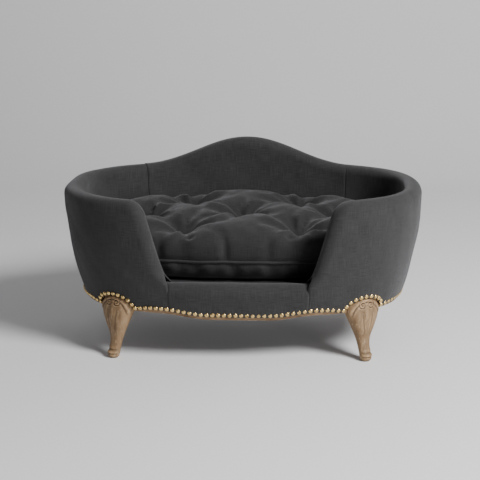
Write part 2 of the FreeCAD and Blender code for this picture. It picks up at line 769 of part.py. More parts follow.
def build_walls(places):
    """Cover, padding and plywood of each wall; each hollow layer is one form cut out of another."""
    holes = nail_holes(places)
    arches = [arch_cutter(Station(length)) for length in LEGS.values()]
    padding_foot = BOARD_TOP + GAP
    behind_hem = flared_block(COVER + SKIRT_GAP / 2, FLARE_LOW, padding_foot)
    past = SECTION_OVERRUN
    corner = NOSE_CORNER
    walls = {
        "back": (back_wall(), back_wall(past), back_wall(), back_wall(past)),
        "rail": (rail_wall(), rail_wall(past), rail_wall(), rail_wall(past)),
        "arm": (
            arm_wall(0.0, corner),
            arm_wall(COVER, corner - COVER, past),
            arm_wall(SKIN, corner - SKIN),
            arm_wall(NOSE_PAD - GAP, BOARD_CORNER, past),
        ),
    }
    for name, (outside, lining, padded, hollow) in walls.items():
        shell = outside.solid(0.0, cover_foot).cut(lining.solid(COVER, FLARE_LOW)).cut(behind_hem)
        cover = shell.cut(arches).cut(holes)
        hollow_board = hollow.board(GAP, padding_foot - 1)
        padding = padded.solid(SKIN, padding_foot).cut(hollow_board)
        board_wall = arm_wall(NOSE_PAD, BOARD_CORNER) if name == "arm" else outside
        board = board_wall.board(0.0, APRON_TOP)
        pieces = {"cover": cover, "padding": padding, "board": board}
        for layer, shape in pieces.items():
            if name == "arm":
                save("right_arm_" + layer, shape)
                save("left_arm_" + layer, mirrored(shape))
            else:
                save(("back_" if name == "back" else "front_rail_") + layer, shape)


def build_cushion():
    places = tuft_places()
    save("cushion_cover", pillow(0.0).cut(pillow(CUSHION_COVER)))
    save("cushion_filling", pillow(SKIN_OF_CUSHION).cut([twine(x, y, GAP) for x, y in places]))
    save("cushion_piping", piping())
    save("tuft_twine", Part.Compound([twine(x, y) for x, y in places]))


nail_spots = nail_places()
build_base(nail_spots)
build_walls(nail_spots)
for side in ("front", "right", "back", "left"):
    save(side + "_nails", Part.Compound([nail(s) for s in nail_spots if nearest_side(s) == side]))
build_cushion()
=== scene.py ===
"""Small upholstered dog sofa: charcoal linen walls, limed oak edge and carved legs, tufted cushion."""

import math

import bmesh
import bpy
import numpy as np
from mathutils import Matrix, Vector
from mathutils.bvhtree import BVHTree


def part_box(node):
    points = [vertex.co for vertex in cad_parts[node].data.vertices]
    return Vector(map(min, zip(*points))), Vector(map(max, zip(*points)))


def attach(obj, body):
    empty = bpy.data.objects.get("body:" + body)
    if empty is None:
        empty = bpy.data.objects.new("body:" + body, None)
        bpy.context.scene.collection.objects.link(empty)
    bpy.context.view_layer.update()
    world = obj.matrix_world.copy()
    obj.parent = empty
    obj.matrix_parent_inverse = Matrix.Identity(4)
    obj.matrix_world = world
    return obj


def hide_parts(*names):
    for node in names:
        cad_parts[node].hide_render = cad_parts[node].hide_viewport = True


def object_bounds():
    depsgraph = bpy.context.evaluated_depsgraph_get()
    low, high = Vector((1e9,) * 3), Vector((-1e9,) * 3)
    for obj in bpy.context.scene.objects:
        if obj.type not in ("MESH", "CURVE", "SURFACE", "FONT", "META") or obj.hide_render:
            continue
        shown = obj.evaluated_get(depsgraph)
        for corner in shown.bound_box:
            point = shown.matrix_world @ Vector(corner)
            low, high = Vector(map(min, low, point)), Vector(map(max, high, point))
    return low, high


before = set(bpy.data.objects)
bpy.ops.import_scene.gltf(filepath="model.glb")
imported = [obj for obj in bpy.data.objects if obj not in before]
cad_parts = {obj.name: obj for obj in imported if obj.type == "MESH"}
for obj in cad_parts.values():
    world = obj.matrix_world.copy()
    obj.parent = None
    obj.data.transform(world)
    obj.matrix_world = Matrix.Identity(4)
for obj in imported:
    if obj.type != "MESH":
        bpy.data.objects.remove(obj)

CAD_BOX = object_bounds()
MM = 0.001

# ---------------------------------------------------------------- the body's outline and walls, in metres
HALF_WIDTH = 0.3335  # of the outline, where the walls' flare begins
FRONT_HALF = 0.222
BACK_HALF = 0.2055
ROUNDNESS = 2.6
FLARE_LOW = 0.098
FLARE = 0.0413
ARM_TOP = 0.3345
BACK_TOP = CAD_BOX[1][2] - 0.5 * MM
BACK_SEAM_X = 0.222
RAIL_TOP = 0.165
WALL = 0.038
RAIL_WALL = 0.050
RAIL_TUCK = 0.012  # how far the rail's cover runs on inside each arm
RAIL_THINS_FROM = 0.085  # where the rail begins to thin towards an arm's wall
CROWN = 0.018
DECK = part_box("deck_cloth")[1][2]
NOSE_X = 0.137  # foot of each arm's front end
NOSE_LEAN = 0.25  # how far the front end moves outward for each metre of height above the rail
NOSE_LEAN_LENGTH = 0.23
NOSE_SWEEP = 0.006  # extra outward sweep just above the rail
NOSE_SWEEP_HEIGHT = 0.014
NOSE_CORNER = 0.030
NOSE_ROUND = 0.020
SEAM_ROUND = 0.003
SEAM_STEPS = np.array([0, 1, 2, 3, 5, 8]) * 0.6 * MM  # rows that turn a cover into its seam
NAIL_LINE = 0.113
FRONT_DIP = 0.010
DIP_FLAT = 0.060
DIP_END = 0.155
HEM_BELOW_NAILS = 0.004
KNEE_RISE = 0.021
KNEE_HALF = 0.043
KNEE_SAG = 0.005  # the nail line's drop beside each arch
KNEE_SAG_LENGTH = 0.024
NAIL_RADIUS = 0.0047
NAIL_DOME = 0.0028
NAIL_PITCH = 0.0115
CLOTH = 0.0014
CLOTH_SET_IN = 0.6 * MM
NAIL_PULL = 0.35 * MM
NAIL_PULL_HEIGHT = 0.012
LEG_X = 0.250

# ---------------------------------------------------------------- the cushion, in metres
CUSHION_LOW, CUSHION_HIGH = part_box("cushion_cover")
CUSHION_HALF_WIDTH = CUSHION_HIGH[0] - 0.009
CUSHION_FRONT = -CUSHION_LOW[1] - 0.008
CUSHION_BACK = CUSHION_HIGH[1] - 0.009
CUSHION_FOOT = CUSHION_LOW[2] + 0.001
PIPING_LOW, PIPING_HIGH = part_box("cushion_piping")
SEAM_HEIGHT = 0.5 * (PIPING_LOW[2] + PIPING_HIGH[2])
CREST = CUSHION_HIGH[2] - 0.006
BELLY = CUSHION_LOW[2] + 0.078
CUSHION_TUCK = 0.060  # how far the underside's edge lies inside the belly
CUSHION_SHOULDER = 0.078  # how far the crest's edge lies inside the belly
PUFF_LIMIT = 0.012
TUFT_X = 0.118
TUFT_Y = 0.093
SIDE_TUFT_X = 0.205
TUFTS = [
    (-TUFT_X, -TUFT_Y), (TUFT_X, -TUFT_Y), (0.0, 0.0), (-SIDE_TUFT_X, 0.0), (SIDE_TUFT_X, 0.0),
    (-TUFT_X, TUFT_Y), (TUFT_X, TUFT_Y),
]
TUFT_DEPTH = 0.046
PIPING = 0.0026


def ease(share):
    share = np.clip(share, 0.0, 1.0)
    return (1 - np.cos(np.pi * share)) / 2


def bell(distance, width):
    return np.exp(-((distance / width) ** 2))


def signed_power(value, power):
    return np.sign(value) * np.abs(value) ** power


def waves(x, y, z, size, seed):
    """A gentle, repeatable unevenness between about -1 and 1, with lumps of the given size."""
    total = 0.0
    for turn in range(5):
        a, b = math.sin(seed + 2.4 * turn), math.cos(1.7 * seed + turn)
        c = math.sin(0.6 * seed + 3.1 * turn)
        total = total + np.sin((a * x + b * y + c * z) * 6.3 / size + seed * turn)
    return total / 3


class Outline:
    """A rounded closed line on the floor plan, found by length from its front centre towards +X."""

    def __init__(self, half_width, front, back):
        self.half_width, self.front, self.back = half_width, front, back
        self.turn = np.linspace(0, 2 * np.pi, 20001)
        x, y, _, _ = self.point(self.turn)
        self.length = np.concatenate([[0], np.cumsum(np.hypot(np.diff(x), np.diff(y)))])
        self.whole = self.length[-1]

    def point(self, turn):
        across, along = np.sin(turn), -np.cos(turn)
        depth = np.where(along < 0, self.front, self.back)
        x = self.half_width * signed_power(across, 2 / ROUNDNESS)
        y = depth * signed_power(along, 2 / ROUNDNESS)
        nx = signed_power(x / self.half_width, ROUNDNESS - 1) / self.half_width
        ny = signed_power(y / depth, ROUNDNESS - 1) / depth
        size = np.hypot(nx, ny)
        return x, y, nx / size, ny / size

    def at(self, length, out):
        turn = np.interp(np.mod(length, self.whole), self.length, self.turn)
        x, y, nx, ny = self.point(turn)
        return x + nx * out, y + ny * out

    def frame(self, length):
        """Point, outward normal and tangent towards +X, at one length."""
        turn = np.interp(length % self.whole, self.length, self.turn)
        x, y, nx, ny = (float(v) for v in self.point(turn))
        return Vector((x, y, 0)), Vector((nx, ny, 0)), Vector((-ny, nx, 0))

    def length_at_x(self, x, at_back=False):
        turn = math.asin((x / self.half_width) ** (ROUNDNESS / 2))
        return float(np.interp(math.pi - turn if at_back else turn, self.turn, self.length))


BODY = Outline(HALF_WIDTH, FRONT_HALF, BACK_HALF)
LEG_FRONT = BODY.length_at_x(LEG_X)
LEG_BACK = BODY.length_at_x(LEG_X, at_back=True)
NOSE = BODY.length_at_x(NOSE_X)
BACK_SEAM = BODY.length_at_x(BACK_SEAM_X, at_back=True)
LEGS = {
    "front_right_leg": LEG_FRONT,
    "rear_right_leg": LEG_BACK,
    "rear_left_leg": BODY.whole - LEG_BACK,
    "front_left_leg": BODY.whole - LEG_FRONT,
}


def flare(z):
    t = np.clip((z - FLARE_LOW) / (ARM_TOP - FLARE_LOW), 0.0, 1.0)
    return FLARE * (2 * t - t * t)


def nail_height(length):
    """The nails' line: level, dipping in front, sagging beside each knee and arched over it."""
    x, y = BODY.at(length, 0.0)
    dip = FRONT_DIP * (1 - ease((np.abs(x) - DIP_FLAT) / (DIP_END - DIP_FLAT)))
    height = NAIL_LINE - np.where(y < 0, dip, 0.0)
    for leg in LEGS.values():
        away = np.abs(np.mod(length - leg + BODY.whole / 2, BODY.whole) - BODY.whole / 2)
        arch = np.sqrt(np.maximum(1 - (away / KNEE_HALF) ** 2, 0.0))
        beside = bell(np.maximum(away - KNEE_HALF, 0.0), KNEE_SAG_LENGTH)
        height = height - KNEE_SAG * beside + (KNEE_RISE + KNEE_SAG) * arch
    return height


def hem_height(length):
    """The lower edge of the cloth."""
    return nail_height(length) - HEM_BELOW_NAILS


# ---------------------------------------------------------------- mesh helpers
def new_object(name, verts, faces, smooth=True):
    mesh = bpy.data.meshes.new(name)
    mesh.from_pydata([tuple(float(c) for c in v) for v in verts], [], faces)
    mesh.validate()
    mesh.update()
    mesh.polygons.foreach_set("use_smooth", [smooth] * len(mesh.polygons))
    piece = bpy.data.objects.new(name, mesh)
    bpy.context.scene.collection.objects.link(piece)
    return piece


def grid_faces(rows, columns, wrap_rows=False, wrap_columns=False):
    faces = []
    for i in range(rows if wrap_rows else rows - 1):
        for j in range(columns if wrap_columns else columns - 1):
            k, m = (i + 1) % rows, (j + 1) % columns
            faces.append((i * columns + j, i * columns + m, k * columns + m, k * columns + j))
    return faces


def grid_object(name, x, y, z, flip=False, **wraps):
    rows, columns = x.shape
    verts = np.stack([x, y, z], axis=-1).reshape(-1, 3)
    faces = grid_faces(rows, columns, **wraps)
    if flip:
        faces = [face[::-1] for face in faces]
    return new_object(name, verts, faces)


def apply_modifier(piece, modifier):
    """Bakes a modifier into the piece's mesh."""
    graph = bpy.context.evaluated_depsgraph_get()
    baked = bpy.data.meshes.new_from_object(piece.evaluated_get(graph), depsgraph=graph)
    piece.modifiers.remove(modifier)
    piece.data = baked


def thicken(piece, thickness):
    solid = piece.modifiers.new("cloth thickness", "SOLIDIFY")
    solid.thickness = thickness
    solid.offset = -1.0
    apply_modifier(piece, solid)


def coordinates(mesh):
    flat = np.empty(len(mesh.vertices) * 3)
    mesh.vertices.foreach_get("co", flat)
    return flat.reshape(-1, 3)


def tube(name, path, radius, sides=10, closed=True):
    """A round tube along a list of points."""
    points = np.array(path)
    ahead = np.roll(points, -1, axis=0) - np.roll(points, 1, axis=0)
    if not closed:
        ahead[0], ahead[-1] = points[1] - points[0], points[-1] - points[-2]
    ahead /= np.linalg.norm(ahead, axis=1)[:, None]
    across = np.cross(ahead, [0, 0, 1.0])
    across /= np.linalg.norm(across, axis=1)[:, None]
    up = np.cross(across, ahead)
    turns = np.linspace(0, 2 * np.pi, sides, endpoint=False)
    rings = points[:, None, :] + radius * (
        np.cos(turns)[None, :, None] * across[:, None, :] + np.sin(turns)[None, :, None] * up[:, None, :]
    )
    return grid_object(name, rings[..., 0], rings[..., 1], rings[..., 2], wrap_rows=closed, wrap_columns=True)


# ---------------------------------------------------------------- walls
SIDE_ROWS = 46
CROWN_ROWS = 22


def wall_profile(foot_out, foot_in, shoulder):
    """Heights of a wall's cross-section, and its places across from the outer face (-1) to the inner (1)."""
    share_up = np.linspace(0, 1, SIDE_ROWS)[:, None]
    out_z = foot_out + (shoulder - foot_out) * share_up
    in_z = shoulder + (foot_in - shoulder) * share_up
    turn = np.linspace(0, np.pi, CROWN_ROWS + 2)[1:-1, None] + 0 * shoulder
    over_z = shoulder + CROWN * np.abs(np.sin(turn)) ** 0.9
    z = np.concatenate([out_z, over_z, in_z])
    across = np.concatenate([-1 + 0 * out_z, -signed_power(np.cos(turn), 0.9), 1 + 0 * in_z])
    return z, across


def wall_cloth(name, lengths, top, thickness, narrow, lean, seed):
    """A wall's cover as one sheet: up the outside, over the rounded top and down the inside.

    narrow(z) is how far each face draws in, and lean(z) how far the section moves along the outline.
    """
    lengths = lengths[None, :]
    shoulder = top[None, :] - CROWN
    foot_out = hem_height(lengths)
    z, across = wall_profile(foot_out, DECK + 0 * lengths, shoulder)
    half = np.maximum(thickness / 2 - narrow(z), 0.0)
    out = flare(np.minimum(z, shoulder)) - thickness / 2 - across * half
    along = lengths + lean(z)
    x, y = BODY.at(along, out)
    soft = waves(x, y, z, 0.11, seed) * 0.9 * MM + waves(x, y, z, 0.05, seed + 1) * 0.35 * MM
    above_nails = z - foot_out - HEM_BELOW_NAILS
    pull = np.cos(2 * np.pi * along / NAIL_PITCH) * NAIL_PULL * bell(above_nails, NAIL_PULL_HEIGHT)
    push = soft - CLOTH_SET_IN + pull * np.clip(-across, 0, 1)
    x, y = BODY.at(along, out + push * np.clip(half / (thickness / 2), 0, 1))
    piece = grid_object(name, x, y, z, flip=True)
    thicken(piece, CLOTH)
    return piece


def edge_round(distance, radius):
    """How far a rounded edge has drawn in at a distance from the end that it turns into."""
    near = np.clip(1 - distance / radius, 0.0, 1.0)
    return 1 - np.sqrt(1 - near**2)


def arm_cloth(name, mirror):
    whole = BACK_SEAM - NOSE
    turning = NOSE_CORNER * (1 - np.cos(np.linspace(0, np.pi / 2, 26)))
    middle = np.linspace(NOSE_CORNER, whole, 120)[1:-len(SEAM_STEPS)]
    along = np.concatenate([turning, middle, whole - SEAM_STEPS[::-1]])
    top = ARM_TOP - NOSE_CORNER * edge_round(along, NOSE_CORNER)
    side = -1 if mirror else 1
    lengths = side * (NOSE + along)

    def narrow(z):
        above = ease((z - RAIL_TOP + 0.006) / 0.030)
        radius = SEAM_ROUND + (NOSE_ROUND - SEAM_ROUND) * above
        depth = SEAM_ROUND + (WALL / 2 - SEAM_ROUND) * above
        at_seam = SEAM_ROUND * edge_round(whole - along[None, :], SEAM_ROUND)
        return depth * edge_round(along[None, :], radius) + at_seam

    def lean(z):
        blend = 1 - ease(along[None, :] / NOSE_LEAN_LENGTH)
        rise = np.maximum(z - RAIL_TOP, 0.0)
        sweep = NOSE_SWEEP * (1 - np.exp(-rise / NOSE_SWEEP_HEIGHT))
        return side * (NOSE_LEAN * rise + sweep) * blend

    return wall_cloth(name, lengths, top, WALL, narrow, lean, 3.0 + side)


def back_cloth():
    first, last = BACK_SEAM, BODY.whole - BACK_SEAM
    middle = np.linspace(first + 0.006, last - 0.006, 130)
    lengths = np.concatenate([first + SEAM_STEPS, middle, last - SEAM_STEPS[::-1]])
    x, _ = BODY.at(lengths, 0.0)
    top = ARM_TOP + (BACK_TOP - ARM_TOP) * (1 - ease(np.abs(x) / BACK_SEAM_X))
    from_end = np.minimum(lengths - first, last - lengths)[None, :]
    return wall_cloth(
        "back_linen", lengths, top, WALL,
        lambda z: SEAM_ROUND * edge_round(from_end, SEAM_ROUND) + 0 * z,
        lambda z: 0 * z, 7.0,
    )


def rail_cloth():
    """The low front rail, its ends tucked inside the arms."""
    lengths = np.linspace(-NOSE - RAIL_TUCK, NOSE + RAIL_TUCK, 160)
    past = np.clip(np.abs(lengths) - NOSE + 0.002, 0, RAIL_TUCK)[None, :]
    thinned = ease((np.abs(lengths) - RAIL_THINS_FROM) / (NOSE - RAIL_THINS_FROM))
    top = np.full_like(lengths, RAIL_TOP)
    return wall_cloth(
        "front_rail_linen", lengths, top, (RAIL_WALL - (RAIL_WALL - WALL) * thinned)[None, :],
        lambda z: 3.0 * MM * ease(past / 0.004) + 0 * z,
        lambda z: 0 * z, 1.0,
    )


# ---------------------------------------------------------------- nails
NAIL_RINGS = 7
NAIL_SIDES = 20


def nail_places():
    """Evenly spaced lengths along the rising and falling line of the nails."""
    lengths = np.linspace(0, BODY.whole, 12001)
    heights = nail_height(lengths)
    walked = np.concatenate([[0], np.cumsum(np.hypot(np.diff(lengths), np.diff(heights)))])
    count = round(walked[-1] / NAIL_PITCH)
    return np.interp((np.arange(count) + 0.5) * walked[-1] / count, walked, lengths)


def nail_side(length):
    if length <= LEG_FRONT or length >= BODY.whole - LEG_FRONT:
        return "front_nails"
    if LEG_BACK <= length <= BODY.whole - LEG_BACK:
        return "back_nails"
    return "right_nails" if length < BODY.whole / 2 else "left_nails"


def nail_head(seat, outward, number):
    """Rings of one domed head: a rolled rim, then the dome, each hammered a little differently."""
    across = Vector((0, 0, 1)).cross(outward).normalized()
    up = outward.cross(across)
    tilt = 0.05 * math.sin(number * 2.7)
    profile = [(0.93, -0.0004), (1.0, 0.0003), (0.97, 0.0008)]
    for step in range(NAIL_RINGS):
        turn = (step + 1) / NAIL_RINGS * math.pi / 2
        profile.append((0.92 * math.cos(turn), 0.0008 + (NAIL_DOME - 0.0008) * math.sin(turn)))
    rings = []
    for share, height in profile:
        ring = []
        for side in range(NAIL_SIDES):
            angle = 2 * math.pi * side / NAIL_SIDES
            radius = NAIL_RADIUS * share * (1 + 0.02 * math.sin(3 * angle + number))
            lean = tilt * radius * math.cos(angle)
            spot = seat + across * radius * math.cos(angle) + up * radius * math.sin(angle)
            ring.append(spot + outward * (height + lean))
        rings.append(ring)
    return rings


def nail_rows():
    """Every side's nails as one piece, named as the nails that they stand for."""
    rows = {}
    for number, length in enumerate(nail_places()):
        length = float(length)
        z = float(nail_height(np.array(length)))
        point, normal, _ = BODY.frame(length)
        slope = float(flare(z + 0.001) - flare(z - 0.001)) / 0.002
        outward = Vector((normal.x, normal.y, -slope)).normalized()
        seat = point + normal * float(flare(z)) + Vector((0, 0, z)) - outward * 0.0002
        rows.setdefault(nail_side(length), []).append(nail_head(seat, outward, number))
    pieces = {}
    for name, heads in rows.items():
        verts, faces = [], []
        for rings in heads:
            first = len(verts)
            verts += [spot for ring in rings for spot in ring]
            loops = grid_faces(len(rings), NAIL_SIDES, wrap_columns=True)
            faces += [tuple(first + i for i in loop) for loop in loops]
        pieces[name] = new_object(name + "_heads", verts, faces)
    return pieces


# ---------------------------------------------------------------- legs
# a leg's cuts: height, centre out from the outline, half depth, half width, all in millimetres
LEG_CUTS = [
    (3, 12, 10.5, 10.5), (9, 12, 12, 12), (16, 9.5, 11.5, 12), (26, 5, 11, 12), (38, 1.5, 11.5, 13.5),
    (52, -1, 13.5, 17.5), (66, -1.5, 17, 23.5), (81, -3, 20, 30), (94, -5, 21.5, 35.5), (103, -7, 22, 38),
    (110, -7.5, 21, 38), (118, -7, 19.5, 33), (124, -6.5, 17.5, 25), (128, -6, 15, 14), (129, -6, 14, 8),
]
LEG_ROWS = 150
LEG_SIDES = 112
BLOCK_HEIGHTS = (0.0945, 0.1375)
BLOCK_DEPTH = 0.0195
BLOCK_HALF_WIDTH = 0.0295
BLOCK_SET_BACK = 0.0062  # behind the flared face of the cloth


def smooth_through(heights, knots, values):
    """A smooth curve through the cuts' values."""
    slopes = np.gradient(values, knots)
    place = np.clip(np.searchsorted(knots, heights) - 1, 0, len(knots) - 2)
    low, high = knots[place], knots[place + 1]
    t = (heights - low) / (high - low)
    run = high - low
    a, b = values[place], values[place + 1]
    return (
        (2 * t**3 - 3 * t**2 + 1) * a + (t**3 - 2 * t**2 + t) * run * slopes[place]
        + (-2 * t**3 + 3 * t**2) * b + (t**3 - t**2) * run * slopes[place + 1]
    )


def leg_relief(side, z, front):
    """Carving on a leg's front, in millimetres: scrolls under the arch, a raised rim, and a curled toe."""
    reach = np.hypot(side, z - 90)
    rim = 1.5 * bell(reach - 36, 2.4) - 1.3 * bell(reach - 31.5, 1.7)
    scrolls = 0 * side
    for hand in (-1, 1):
        across, up = side - hand * 9.5, z - 117
        turn = np.arctan2(up, across * hand)
        from_eye = np.hypot(across, up)
        spiral = np.cos(2 * np.pi * (from_eye / 5.2 - turn / (2 * np.pi)))
        scrolls = scrolls + 1.25 * spiral * (1 - ease((from_eye - 6.5) / 3.5))
    leaf = 1.2 * bell(side, 5.0) * ease((z - 86) / 8) * (1 - ease((z - 110) / 6))
    veins = -0.8 * bell(np.abs(side) - 5.5 - 0.16 * (z - 60), 1.5)
    veins = veins * ease((z - 52) / 14) * (1 - ease((z - 96) / 12))
    curl = 1.5 * bell(z - 13.0, 2.2) - 1.3 * bell(z - 9.0, 1.4)
    curl = curl - 1.3 * bell(z - 17.5, 1.8) + 0.6 * bell(z - 23, 2.5)
    return (rim * ease((z - 90) / 10) + scrolls + leaf + veins + curl) * front


def leg_mesh(name, length):
    cuts = np.array(LEG_CUTS, dtype=float)
    z = np.linspace(cuts[0, 0], cuts[-1, 0], LEG_ROWS)
    centre, depth, width = (smooth_through(z, cuts[:, 0], cuts[:, i]) for i in (1, 2, 3))
    turn = np.linspace(0, 2 * np.pi, LEG_SIDES, endpoint=False)[None, :]
    out = centre[:, None] + depth[:, None] * signed_power(np.cos(turn), 0.9)
    side = width[:, None] * signed_power(np.sin(turn), 0.9)
    heights = z[:, None] + 0 * turn
    front = ease((np.cos(turn) - 0.05) / 0.5)
    push = leg_relief(side, heights, front)
    out = out + push * np.cos(turn)
    side = side + push * np.sin(turn) * 0.6
    point, normal, tangent = BODY.frame(length)
    x = point.x + (normal.x * out + tangent.x * side) * MM
    y = point.y + (normal.y * out + tangent.y * side) * MM
    body = grid_object(name, x, y, heights * MM, wrap_columns=True)
    mesh = bmesh.new()
    mesh.from_mesh(body.data)
    mesh.verts.ensure_lookup_table()
    for row in (0, LEG_ROWS - 1):
        ring = [mesh.verts[row * LEG_SIDES + i] for i in range(LEG_SIDES)]
        mesh.faces.new(ring)
    bmesh.ops.recalc_face_normals(mesh, faces=mesh.faces)
    add_block(mesh, point, normal, tangent)
    mesh.to_mesh(body.data)
    mesh.free()
    return body


def add_block(mesh, point, normal, tangent):
    """The square top of a leg, between the aprons."""
    corners = []
    for height in BLOCK_HEIGHTS:
        front = float(flare(height) - BLOCK_SET_BACK)
        for out, hand in ((-BLOCK_DEPTH, -1), (-BLOCK_DEPTH, 1), (front, 1), (front, -1)):
            spot = point + normal * out + tangent * (hand * BLOCK_HALF_WIDTH)
            corners.append(mesh.verts.new((spot.x, spot.y, height)))
    sides = [(0, 1, 2, 3), (7, 6, 5, 4), (0, 4, 5, 1), (1, 5, 6, 2), (2, 6, 7, 3), (3, 7, 4, 0)]
    faces = [mesh.faces.new([corners[i] for i in loop]) for loop in sides]
    edges = list({edge for face in faces for edge in face.edges})
    bmesh.ops.bevel(mesh, geom=edges, offset=0.8 * MM, segments=2, affect="EDGES")


# ---------------------------------------------------------------- cushion
CUSHION = Outline(CUSHION_HALF_WIDTH, CUSHION_FRONT, CUSHION_BACK)


def tuft_dip(x, y):
    """How far tufts, the creases between them and their folds pull the cushion's top down."""
    dip = 0 * x
    for number, (tx, ty) in enumerate(TUFTS):
        away = np.hypot(x - tx, (y - ty) * 1.1)
        bearing = np.arctan2(y - ty, x - tx)
        folds = 1 + 0.22 * np.cos(5 * bearing + 1.3 * number) + 0.12 * np.cos(9 * bearing + 2.1 * number)
        dip = np.maximum(dip, TUFT_DEPTH * np.exp(-((away / (0.040 * folds)) ** 1.25)))
        rays = np.cos(8 * bearing + 2.4 * number) + 0.6 * np.cos(13 * bearing + 0.7 * number)
        dip = dip + 0.0021 * rays * bell(away - 0.034, 0.020)
    for (ax, ay), (bx, by) in crease_lines():
        run = math.hypot(bx - ax, by - ay)
        ux, uy = (bx - ax) / run, (by - ay) / run
        along = np.clip((x - ax) * ux + (y - ay) * uy, 0, run)
        off = np.hypot(x - ax - along * ux, y - ay - along * uy)
        bend = 0.004 * np.sin(along * 40 + ax * 30)
        strength = 0.021 - 0.007 * np.sin(np.pi * along / run)
        dip = np.maximum(dip, strength * np.exp(-np.abs(off + bend) / 0.009))
    return dip


def crease_lines():
    """Pairs of neighbouring tufts, and of outer tufts and the cushion's edge."""
    lines = []
    for i, a in enumerate(TUFTS):
        for b in TUFTS[i + 1:]:
            if 0.10 < math.dist(a, b) < 0.17:
                lines.append((a, b))
    for x in (-TUFT_X, TUFT_X):
        lines.append(((x, -TUFT_Y), (x * 0.86, -0.150)))
        lines.append(((x, TUFT_Y), (x * 1.05, 0.160)))
    lines.append(((-SIDE_TUFT_X, 0.0), (-0.285, -0.02)))
    lines.append(((SIDE_TUFT_X, 0.0), (0.285, -0.02)))
    return lines


SEAM_SLACK = 0.0042
SEAM_SLACK_LIFT = 0.002
# where each crease starts along the crest, its slant, its depth and its width, in metres
FRONT_CREASES = [(-0.048, 0.62, 0.0095, 0.006), (-0.150, -0.45, 0.006, 0.006), (0.066, -0.30, 0.0055, 0.007)]


def front_folds(x, y, z):
    """Pleats that fan out over the cushion's front edge from its tufts, and the slack under its seam."""
    edge = bell(y + CUSHION_FRONT, 0.050)
    fallen = CREST - z
    fold = 0 * x
    for number, tuft_x in enumerate((-TUFT_X, TUFT_X)):
        path = fallen - (y + TUFT_Y)
        bearing = np.arctan2(x - tuft_x, np.maximum(path, 0.01))
        strength = bell(path - 0.085, 0.055) * bell(x - tuft_x, 0.075)
        waved = np.cos(bearing * 9 + 0.9 * number) + 0.5 * np.cos(bearing * 17 + 2 * number)
        fold = fold + (0.0046 - 0.0014 * number) * waved * strength
    between = ease((CREST + 0.01 - z) / 0.02) * ease((z - SEAM_HEIGHT) / 0.016)
    for start, slant, depth, width in FRONT_CREASES:
        line = start + slant * fallen * (1 - fallen / 0.12)
        fold = fold + depth * bell(x - line, width) * between
    below = ease((SEAM_HEIGHT - z) / 0.012) * ease((z - CUSHION_FOOT) / 0.012)
    slack = np.cos(x * 2 * np.pi / 0.085 + 0.6) + 0.6 * np.cos(x * 2 * np.pi / 0.037 + 2.0)
    return edge * (fold + SEAM_SLACK * slack * below), -SEAM_SLACK_LIFT * edge * below * slack


def fallen_share(turn):
    """How far a belly's curve has fallen away after a turn, up to 1 at a quarter turn."""
    return 1 - math.cos(turn) ** 0.9 if turn < np.pi / 2 - 1e-6 else 1


def cushion_rings():
    """Insets and heights of the cushion from the edge of its underside, round its belly, to its crest."""
    rings = []
    for turn in np.linspace(0, np.pi / 2, 24):
        inset = CUSHION_TUCK * (1 - math.sin(turn) ** 0.8)
        rings.append((inset, CUSHION_FOOT + (BELLY - CUSHION_FOOT) * fallen_share(turn)))
    for turn in np.linspace(0, np.pi / 2, 26)[1:]:
        rings.append((CUSHION_SHOULDER * fallen_share(turn), BELLY + (CREST - BELLY) * math.sin(turn)))
    return rings


def cushion_body():
    """The cushion's sewn form before it is filled: crowned, tufted, and gathered under its front edge."""
    sides = 260
    lengths = np.linspace(0, CUSHION.whole, sides, endpoint=False)
    rows = []
    for inset, z in cushion_rings():
        x, y = CUSHION.at(lengths, -inset)
        rows.append(np.stack([x, y, np.full_like(x, z)], axis=-1))
    first, last = rows[0], rows[-1]
    inward = [first * [1 - s, 1 - s, 1] for s in np.linspace(1, 0, 14)[:-1] * 0.97]
    onward = [last * [1 - s, 1 - s, 1] for s in np.linspace(0, 0.985, 60)[1:]]
    points = np.array(inward + rows + onward)
    x, y, z = points[..., 0], points[..., 1], points[..., 2]
    high = ease((z - BELLY) / (CREST - BELLY) * 1.1)
    crown = 0.013 * (y / CUSHION_BACK) + 0.003 * np.cos(x * 9)
    z = z + high * (crown - tuft_dip(x, y))
    fold, lift = front_folds(x, y, z)
    y, z = y + fold, z + lift
    pinch = 0.006 * bell(z - SEAM_HEIGHT, 0.008)
    x, y = x * (1 - pinch / 0.32), y * (1 - pinch / 0.18)
    verts = np.stack([x, y, z], axis=-1).reshape(-1, 3)
    count = len(points)
    faces = grid_faces(count, sides, wrap_columns=True)
    verts = np.vstack([verts, [[0, 0, CUSHION_FOOT]], [[0, 0, float(z[-1].mean())]]])
    bottom, top = len(verts) - 2, len(verts) - 1
    for j in range(sides):
        k = (j + 1) % sides
        faces.append((bottom, k, j))
        faces.append((top, (count - 1) * sides + j, (count - 1) * sides + k))
    return new_object("cushion_linen", verts, faces)


